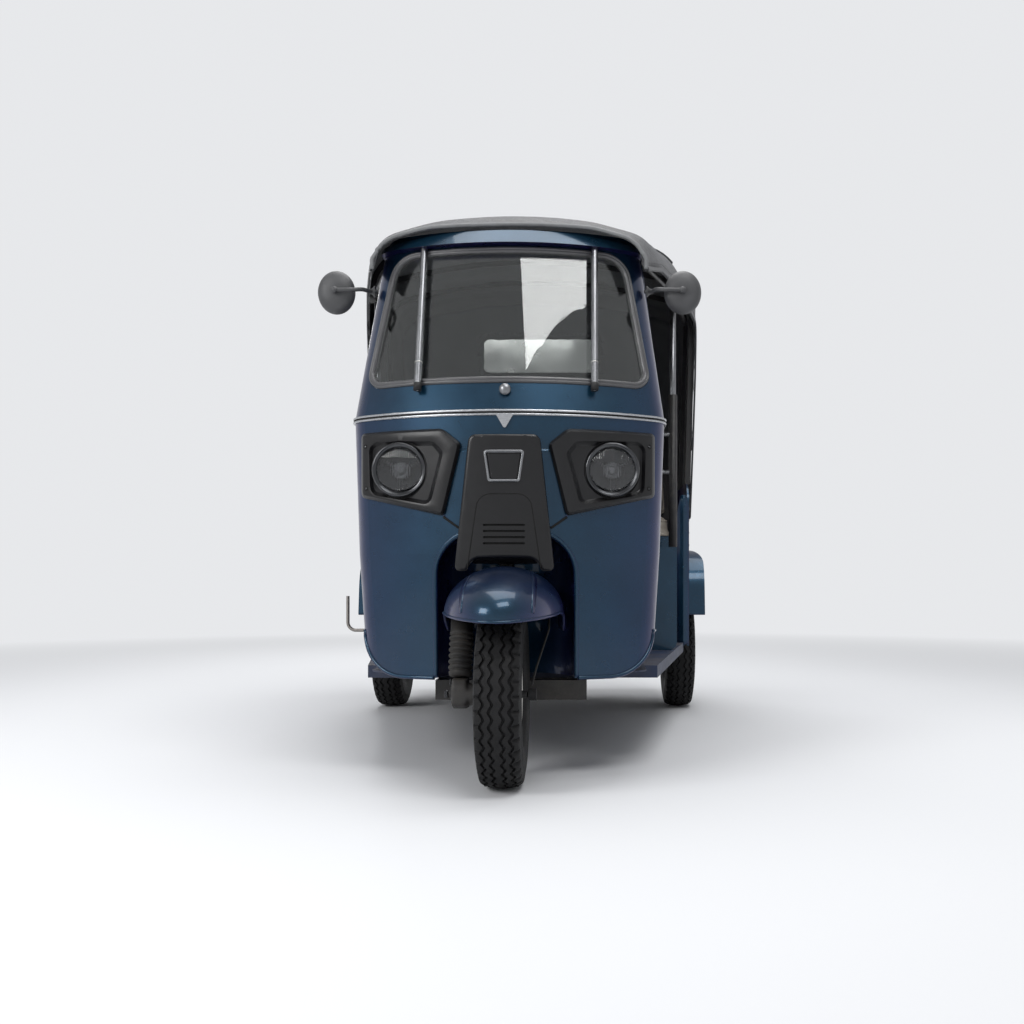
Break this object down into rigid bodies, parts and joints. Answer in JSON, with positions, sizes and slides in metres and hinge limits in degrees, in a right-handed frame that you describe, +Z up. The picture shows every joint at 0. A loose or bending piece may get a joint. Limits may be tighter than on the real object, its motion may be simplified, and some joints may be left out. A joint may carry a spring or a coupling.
{
  "type": "auto rickshaw",
  "caption": "Three-wheeled passenger taxi with a curved leg-shield cab, canvas hood, rear bench, steered single front wheel and a hinged tail lid.",
  "frame": {"origin": "on the ground under the middle of the vehicle's length and width", "axes": "+Y from nose to tail, +X to the vehicle's left, +Z up"},
  "size_m": [1.436, 2.88, 1.93],
  "materials": {
    "blue_paint": "deep metallic blue enamel",
    "black_paint": "satin black enamel",
    "glass": "clear safety glass",
    "lamp_glass": "ribbed clear glass",
    "seal_rubber": "grey weather seal",
    "dark_rubber": "black moulded rubber",
    "tyre": "black tyre rubber",
    "bright_trim": "satin aluminium",
    "stay_metal": "brushed steel tube",
    "chrome": "bright chrome",
    "cowl_plastic": "satin black moulding",
    "mirror_plastic": "dark grey moulding",
    "dash_plastic": "grained black moulding",
    "lamp_plastic": "red lamp moulding",
    "plate_paint": "plain yellow plate",
    "canvas": "coated canvas",
    "grey_vinyl": "textured grey vinyl",
    "beige_vinyl": "beige grey vinyl",
    "clear_sheet": "clear flexible sheet",
    "cast_metal": "cast casing",
    "engine_metal": "cast alloy casing",
    "rim_paint": "silver wheel paint",
    "galvanised": "dull plated steel"
  },
  "bodies": {
    "body": {"front_shell": "blue_paint", "wheel_well": "blue_paint", "windscreen_seal": "seal_rubber", "windscreen_glass": "glass", "roof_visor": "blue_paint", "windscreen_stays": "stay_metal", "belt_trim": "bright_trim", "nose_cowl": "cowl_plastic", "badge_frame": "chrome", "headlamp_bezels": "cowl_plastic", "headlamp_units": "chrome", "headlamp_lenses": "lamp_glass", "door_mirrors": "mirror_plastic", "floor_pan": "blue_paint", "chassis_frame": "black_paint", "dashboard": "dash_plastic", "partition_panel": "blue_paint", "pillars": "stay_metal", "driver_seat_box": "blue_paint", "driver_cushion": "grey_vinyl", "driver_backrest": "grey_vinyl", "rear_tub": "blue_paint", "rear_fenders": "blue_paint", "lid_hinges": "galvanised", "passenger_cushion": "beige_vinyl", "passenger_backrest": "grey_vinyl", "backrest_board": "black_paint", "hood_canopy": "canvas", "rear_window": "clear_sheet", "hood_bows": "black_paint", "engine_block": "engine_metal", "rear_suspension": "black_paint", "rear_dampers": "black_paint", "exhaust": "galvanised", "rear_bumper": "black_paint", "tail_lamps": "lamp_plastic", "number_plate": "plate_paint", "mud_flaps": "dark_rubber", "tow_eye": "black_paint", "side_panel": "blue_paint", "side_rod": "galvanised", "brake_pedal": "black_paint", "underfloor_box": "black_paint"},
    "steering": {"front_fork": "black_paint", "front_link": "cast_metal", "front_damper": "dark_rubber", "front_fender": "blue_paint", "handlebar": "black_paint", "speed_cable": "dark_rubber"},
    "front_wheel": {"front_tyre": "tyre", "front_rim": "rim_paint"},
    "rear_wheel_left": {"rear_left_tyre": "tyre", "rear_left_rim": "rim_paint"},
    "rear_wheel_right": {"rear_right_tyre": "tyre", "rear_right_rim": "rim_paint"},
    "engine_lid": {"engine_lid": "blue_paint"}
  },
  "joints": [
    {"name": "steering", "type": "hinge", "parent": "body", "child": "steering", "pos_m": [0, -0.9726, 0.8], "axis": [0, 0.2756, 0.9613], "range_deg": [-30, 30]},
    {"name": "front_wheel_spin", "type": "hinge", "parent": "steering", "child": "front_wheel", "pos_m": [0, -1.162, 0.2535], "axis": [1, 0, 0], "continuous": true},
    {"name": "rear_wheel_left_spin", "type": "hinge", "parent": "body", "child": "rear_wheel_left", "pos_m": [0.627, 0.758, 0.2535], "axis": [1, 0, 0], "continuous": true},
    {"name": "rear_wheel_right_spin", "type": "hinge", "parent": "body", "child": "rear_wheel_right", "pos_m": [-0.627, 0.758, 0.2535], "axis": [1, 0, 0], "continuous": true},
    {"name": "engine_lid_hinge", "type": "hinge", "parent": "body", "child": "engine_lid", "pos_m": [0, 1.407, 0.714], "axis": [1, 0, 0], "range_deg": [0, 95]}
  ]
}
